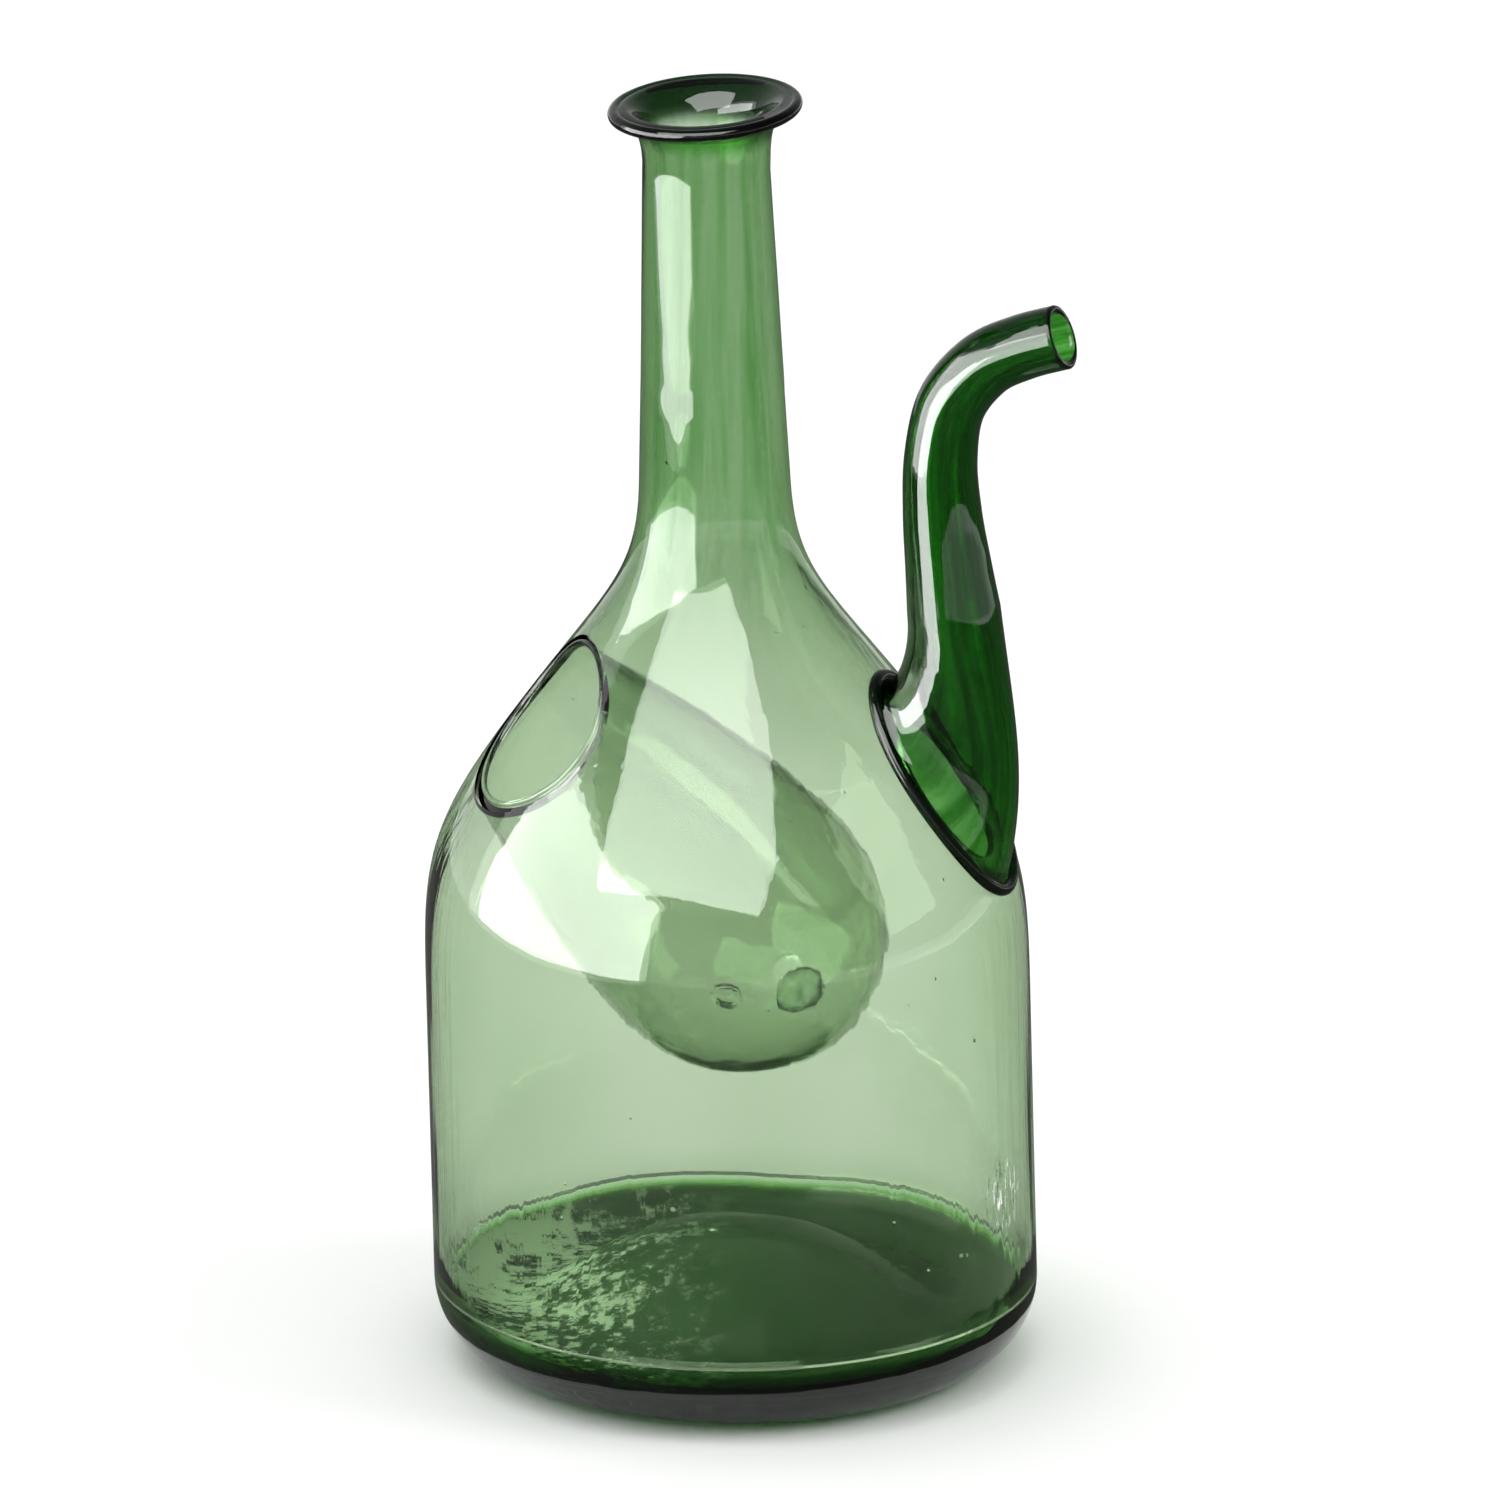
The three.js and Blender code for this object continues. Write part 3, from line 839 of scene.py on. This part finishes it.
def pocket_glass(colours):
    """Thin pale green glass of the pocket, with a ring-shaped mark near its end."""
    made = Recipe("pocket_glass")
    made.clear_glass(colours.wall_tint, colours.wall_depth, POCKET_TINT)
    waves = made.clouds(made.place, 55, 2)
    normal = made.bump(waves, 0.8 * MM, 0.5)
    normal = made.bump(made.seeds(95, 0.05), 0.25 * MM, 0.8, normal)
    far = made.distance(RING_PLACE)
    ring = made.maths(
        "MULTIPLY", made.ranged(far, 0.0008, 0.0022), made.ranged(far, 0.0042, 0.0028)
    )
    made.feed(made.shader.inputs["Normal"], made.bump(ring, 0.9 * MM, 1.0, normal))
    return made.material


def spout_glass(colours):
    """Deep green glass with light and dark streaks drawn along the tube."""
    made = Recipe("spout_glass")
    made.clear_glass(colours.spout_tint, colours.spout_depth, SPOUT_TINT)
    grain = made.add("ShaderNodeAttribute", attribute_name="grain").outputs["Vector"]
    drawn_out = made.clouds(made.stretched((3.2, 3.2, 2.2), grain), 1.0, 3)
    streak = made.ranged(drawn_out, 0.38, 0.62)
    made.feed(
        made.shader.inputs["Base Color"],
        made.blend(streak, DARK_STREAK_TINT, LIGHT_STREAK_TINT),
    )
    normal = made.bump(drawn_out, 0.4 * MM, 0.3)
    made.feed(made.shader.inputs["Normal"], normal)
    return made.material


def edge_glass(colours):
    """Dark green glass of the rolled edges."""
    made = Recipe("edge_glass")
    made.clear_glass(colours.spout_tint, colours.spout_depth * 1.5, ROLL_TINT)
    waves = made.clouds(made.place, 120, 2)
    made.feed(made.shader.inputs["Normal"], made.bump(waves, 0.4 * MM, 0.5))
    return made.material


# ---- operators --------------------------------------------------------------------------------
class BlowBubble(bpy.types.Operator):
    """Blow the body, neck and rolled lip, and open them for the pocket and the spout"""

    bl_idname = "decanter.blow_bubble"
    bl_label = "Blow the bubble"

    def execute(self, context):
        sizes = context.scene.decanter_bubble
        outline = wall_outline(sizes)
        shape = spun(bubble_section(sizes), 160, ring=True)
        uneven_inside(shape, sizes, outline)
        tool_lip(shape, sizes)
        bubble = as_object("blown_bubble", shape)
        pocket = pear(context.scene.decanter_pocket, GAP, -HOLE_ROOM)
        carved(bubble, pocket, "DIFFERENCE")
        carved(bubble, spout_hole(outline, context.scene.decanter_spout), "DIFFERENCE")
        glass = wall_glass(context.scene.decanter_colours)
        fitted(bubble, glass, "body_glass", "body", "neck", "lip", "lip_rim")
        return {"FINISHED"}


class PressBase(bpy.types.Operator):
    """Make the thick base with its round heel and pushed-up middle"""

    bl_idname = "decanter.press_base"
    bl_label = "Make the base"

    def execute(self, context):
        wall = context.scene.decanter_bubble
        sizes = context.scene.decanter_base
        heel = at(wall.body_radius - sizes.heel_radius, sizes.heel_radius)
        top = wall.seam_height
        kick = at(0, sizes.kick_height)
        foot = at(sizes.kick_radius, 0)
        corner = at(sizes.kick_radius * 0.62, sizes.kick_height)
        inner = at(wall.body_radius - wall.seam_wall, top)
        trough = at(sizes.floor_radius, sizes.floor_height)
        dome = at(0, sizes.dome_height)
        section = joined(
            run(kick, kick.lerp(corner, 2 / 3), foot.lerp(corner, 2 / 3), foot, 30),
            arc(heel, sizes.heel_radius, -90, 0, 24),
            [inner],
            run(
                inner,
                at(wall.body_radius - wall.seam_wall - 0.7 * MM, sizes.floor_height + 4 * MM),
                trough + Vector((9 * MM, 0, 0)),
                trough,
                26,
            ),
            run(trough, trough - Vector((14 * MM, 0, 0)), at(34 * MM, sizes.dome_height), dome, 34),
        )
        base = as_object("thick_base", spun(section, 160))
        fitted(base, base_glass(context.scene.decanter_colours), "base_glass", "base")
        return {"FINISHED"}


class SetPocket(bpy.types.Operator):
    """Make the ice pocket, the thickened edge of its mouth and the button on its end"""

    bl_idname = "decanter.set_pocket"
    bl_label = "Set the ice pocket"

    def execute(self, context):
        sizes = context.scene.decanter_pocket
        wall = context.scene.decanter_bubble
        outline = wall_outline(wall)
        outer = pear_outline(sizes, -HOLE_ROOM)
        inner = set_in(outer, sizes.wall)
        inner[-1] = at(0, sizes.depth - sizes.wall)
        shape = spun(joined(outer[::-1], inner), 128)
        bmesh.ops.transform(shape, matrix=pocket_place(sizes), verts=shape.verts)
        pocket = as_object("ice_pocket_bulb", shape)
        room = joined(
            [at(0, wall.seam_height)],
            set_in(outline, sizes.edge_depth),
            [at(0, wall.neck_foot_height)],
        )
        carved(pocket, as_object("room", spun(room, 160)), "INTERSECT")
        glass = pocket_glass(context.scene.decanter_colours)
        fitted(pocket, glass, "pocket_glass", "ice_pocket")

        edge = rolled_edge(mouth_curve(sizes, outline, 96), sizes.edge, 20)
        fitted(as_object("pocket_mouth_edge", edge), glass, "pocket_glass", "pocket_rim")

        button = bmesh.new()
        bmesh.ops.create_uvsphere(button, u_segments=40, v_segments=20, radius=sizes.button_radius)
        bmesh.ops.scale(button, vec=(1, 1, 0.32), verts=button.verts)
        centre = pocket_place(sizes) @ at(0, sizes.widest + 3 * MM)
        spot = centre + BUTTON_WAY * (sizes.radius - 1 * MM)
        turn = UP.rotation_difference(BUTTON_WAY).to_matrix().to_4x4()
        place = Matrix.Translation(spot) @ turn
        bmesh.ops.transform(button, matrix=place, verts=button.verts)
        fitted(as_object("pocket_button", closed_up(button)), glass, "pocket_glass", "pocket_pontil")
        return {"FINISHED"}


class DrawSpout(bpy.types.Operator):
    """Draw the pouring spout and roll the edge of its foot"""

    bl_idname = "decanter.draw_spout"
    bl_label = "Draw the spout"

    def execute(self, context):
        sizes = context.scene.decanter_spout
        colours = context.scene.decanter_colours
        outline = wall_outline(context.scene.decanter_bubble)
        spout = as_object("pouring_spout", spout_shape(outline, sizes))
        fitted(spout, spout_glass(colours), "spout_glass", "spout_foot", "spout_tube", "spout_rim")
        turns = [FULL_TURN * i / 96 for i in range(96)]
        curve = [foot_point(outline, sizes, turn, -0.6 * MM, 1 * MM) for turn in turns]
        edge = as_object("spout_foot_roll", rolled_edge(curve, sizes.foot_edge, 16))
        fitted(edge, edge_glass(colours), "rim_glass", "spout_foot_edge")
        return {"FINISHED"}


class SetStage(bpy.types.Operator):
    """Set up the floor, the soft light and the camera"""

    bl_idname = "decanter.set_stage"
    bl_label = "Set the stage"

    def execute(self, context):
        stage = context.scene.decanter_stage
        add_floor(stage)
        add_dark_card()
        add_sky(context.scene, stage)
        add_lights(stage)
        add_camera(context.scene, stage, context.scene.decanter_bubble)
        context.scene.view_settings.view_transform = "Standard"
        cycles = context.scene.cycles
        cycles.max_bounces = 28
        cycles.transmission_bounces = 26
        cycles.glossy_bounces = 10
        return {"FINISHED"}


def add_floor(stage):
    """A plain pale floor."""
    shape = bmesh.new()
    bmesh.ops.create_grid(shape, x_segments=2, y_segments=2, size=60)
    floor = as_object("floor", shape)
    made = Recipe("floor_paint")
    made.shader.inputs["Base Color"].default_value = (*stage.floor_colour, 1)
    made.shader.inputs["Roughness"].default_value = 0.7
    floor.data.materials.append(made.material)


def add_dark_card():
    """A dark card round the decanter that only reflections see, so the glass keeps its depth."""
    shape = bmesh.new()
    rims = []
    for radius in CARD_RADII:
        rim = bmesh.ops.create_circle(shape, segments=64, radius=radius)["verts"]
        rims += {edge for corner in rim for edge in corner.link_edges}
    bmesh.ops.bridge_loops(shape, edges=rims)
    bmesh.ops.translate(shape, vec=(0, 0, 1 * MM), verts=shape.verts)
    card = as_object("dark_card", shape)
    made = Recipe("card_paint")
    made.shader.inputs["Base Color"].default_value = (0.05, 0.05, 0.045, 1)
    made.shader.inputs["Roughness"].default_value = 0.9
    card.data.materials.append(made.material)
    card.visible_camera = False
    card.visible_diffuse = False
    card.visible_transmission = False
    card.visible_shadow = False


def add_sky(scene, stage):
    """A soft sky, pale at the horizon, darker overhead and on the right."""
    world = bpy.data.worlds.new("sky")
    world.use_nodes = True
    tree = world.node_tree
    ground = tree.nodes["Background"]
    place = tree.nodes.new("ShaderNodeTexCoord")
    split = tree.nodes.new("ShaderNodeSeparateXYZ")
    ramp = tree.nodes.new("ShaderNodeValToRGB")
    tree.links.new(place.outputs["Generated"], split.inputs["Vector"])
    tree.links.new(split.outputs["Z"], ramp.inputs["Fac"])
    ramp.color_ramp.elements[0].position = 0.0
    ramp.color_ramp.elements[0].color = (1, 1, 1, 1)
    ramp.color_ramp.elements[1].position = 0.75
    ramp.color_ramp.elements[1].color = (0.22, 0.24, 0.25, 1)
    side = tree.nodes.new("ShaderNodeVectorMath")
    side.operation = "DOT_PRODUCT"
    side.inputs[1].default_value = around_view(stage, 90, 1, 0)
    tree.links.new(place.outputs["Generated"], side.inputs[0])
    fade = tree.nodes.new("ShaderNodeMapRange")
    fade.inputs["From Min"].default_value = -0.9
    fade.inputs["From Max"].default_value = 0.3
    fade.inputs["To Min"].default_value = 0.15
    tree.links.new(side.outputs["Value"], fade.inputs["Value"])
    shade = tree.nodes.new("ShaderNodeVectorMath")
    shade.operation = "SCALE"
    tree.links.new(ramp.outputs["Color"], shade.inputs[0])
    tree.links.new(fade.outputs["Result"], shade.inputs["Scale"])
    tree.links.new(shade.outputs["Vector"], ground.inputs["Color"])
    ground.inputs["Strength"].default_value = stage.sky_strength
    scene.world = world


def soft_light(name, watts, width, height, spot, goal):
    """A rectangular soft light at a spot, turned towards a goal."""
    data = bpy.data.lights.new(name, "AREA")
    data.shape = "RECTANGLE"
    data.size = width
    data.size_y = height
    data.energy = watts
    light = bpy.data.objects.new(name, data)
    light.location = spot
    light.rotation_euler = (Vector(goal) - Vector(spot)).to_track_quat("-Z", "Y").to_euler()
    light.visible_camera = False
    bpy.context.scene.collection.objects.link(light)
    return light


def around_view(stage, turn, distance, height):
    """A spot at an angle to the left of the view, at a distance and a height."""
    way = stage.view_direction - math.radians(90) - math.radians(turn)
    return Vector((math.cos(way) * distance, math.sin(way) * distance, height))


def add_lights(stage):
    """A high window and a strip on the left for the reflections, and soft light all over."""
    middle = (0, 0, 0.15)
    neck = (0, 0, 0.25)
    power = stage.window_strength
    window = soft_light("window", power, 1.0, 0.55, around_view(stage, 20, 0.5, 0.76), middle)
    strip = soft_light("strip", power * 1.1, 1.0, 0.5, around_view(stage, 68, 0.62, 0.31), neck)
    glow = soft_light("glow", power * 0.35, 1.3, 0.6, around_view(stage, 72, 0.68, 0.33), neck)
    spout_middle = (0.05, 0, 0.19)
    low = soft_light(
        "low", power * 0.25, 0.22, 0.3, around_view(stage, 52, 0.36, 0.14), spout_middle
    )
    for light in (window, strip, glow, low):
        light.visible_diffuse = False
    spout_only = bpy.data.collections.new("spout_only")
    spout_only.objects.link(bpy.data.objects["pouring_spout"])
    low.light_linking.receiver_collection = spout_only
    side = soft_light("side", 25, 1.2, 1.4, around_view(stage, -80, 2.2, 1.2), middle)
    dome = bpy.data.objects.new("dome", bpy.data.lights.new("dome", "SUN"))
    dome.data.energy = 2.5
    dome.data.angle = math.radians(120)
    bpy.context.scene.collection.objects.link(dome)
    overhead = soft_light("overhead", 30, 2.5, 2.5, around_view(stage, 120, 0.8, 3.0), middle)
    for light in (side, dome, overhead):
        light.visible_glossy = False


def add_camera(scene, stage, wall):
    """The camera, looking down at the decanter from its side."""
    direction = Vector(
        (
            math.cos(stage.view_height) * math.sin(stage.view_direction),
            -math.cos(stage.view_height) * math.cos(stage.view_direction),
            math.sin(stage.view_height),
        )
    )
    turn = direction.to_track_quat("Z", "Y")
    right = turn @ Vector((1, 0, 0))
    up = turn @ Vector((0, 1, 0))
    aim = Vector((wall.axis_offset, 0, stage.aim_height)) + right * stage.aim_right - up * stage.aim_down
    data = bpy.data.cameras.new("camera")
    data.lens = stage.lens
    data.clip_end = 100
    camera = bpy.data.objects.new("camera", data)
    camera.location = aim + direction * stage.distance
    camera.rotation_euler = turn.to_euler()
    scene.collection.objects.link(camera)
    scene.camera = camera


class DecanterPanel(bpy.types.Panel):
    """Lists the decanter's pieces and their sizes"""

    bl_idname = "VIEW3D_PT_decanter"
    bl_label = "Decanter"
    bl_space_type = "VIEW_3D"
    bl_region_type = "UI"
    bl_category = "Decanter"

    def draw(self, context):
        for operator in OPERATORS:
            self.layout.operator(operator.bl_idname)
        for name in GROUPS:
            group = getattr(context.scene, name)
            box = self.layout.box()
            for key in group.__annotations__:
                box.prop(group, key)


OPERATORS = (PressBase, BlowBubble, SetPocket, DrawSpout, SetStage)
GROUPS = {
    "decanter_bubble": BubbleSizes,
    "decanter_base": BaseSizes,
    "decanter_pocket": PocketSizes,
    "decanter_spout": SpoutSizes,
    "decanter_colours": GlassColours,
    "decanter_stage": StageSettings,
}


def register():
    for group in GROUPS.values():
        bpy.utils.register_class(group)
    for name, group in GROUPS.items():
        setattr(bpy.types.Scene, name, bpy.props.PointerProperty(type=group))
    for operator in OPERATORS:
        bpy.utils.register_class(operator)
    bpy.utils.register_class(DecanterPanel)


def unregister():
    bpy.utils.unregister_class(DecanterPanel)
    for operator in OPERATORS:
        bpy.utils.unregister_class(operator)
    for name, group in GROUPS.items():
        delattr(bpy.types.Scene, name)
        bpy.utils.unregister_class(group)


def main():
    """Registers the add-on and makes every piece."""
    register()
    bpy.ops.decanter.press_base()
    bpy.ops.decanter.blow_bubble()
    bpy.ops.decanter.set_pocket()
    bpy.ops.decanter.draw_spout()
    bpy.ops.decanter.set_stage()


if __name__ == "__main__":
    main()
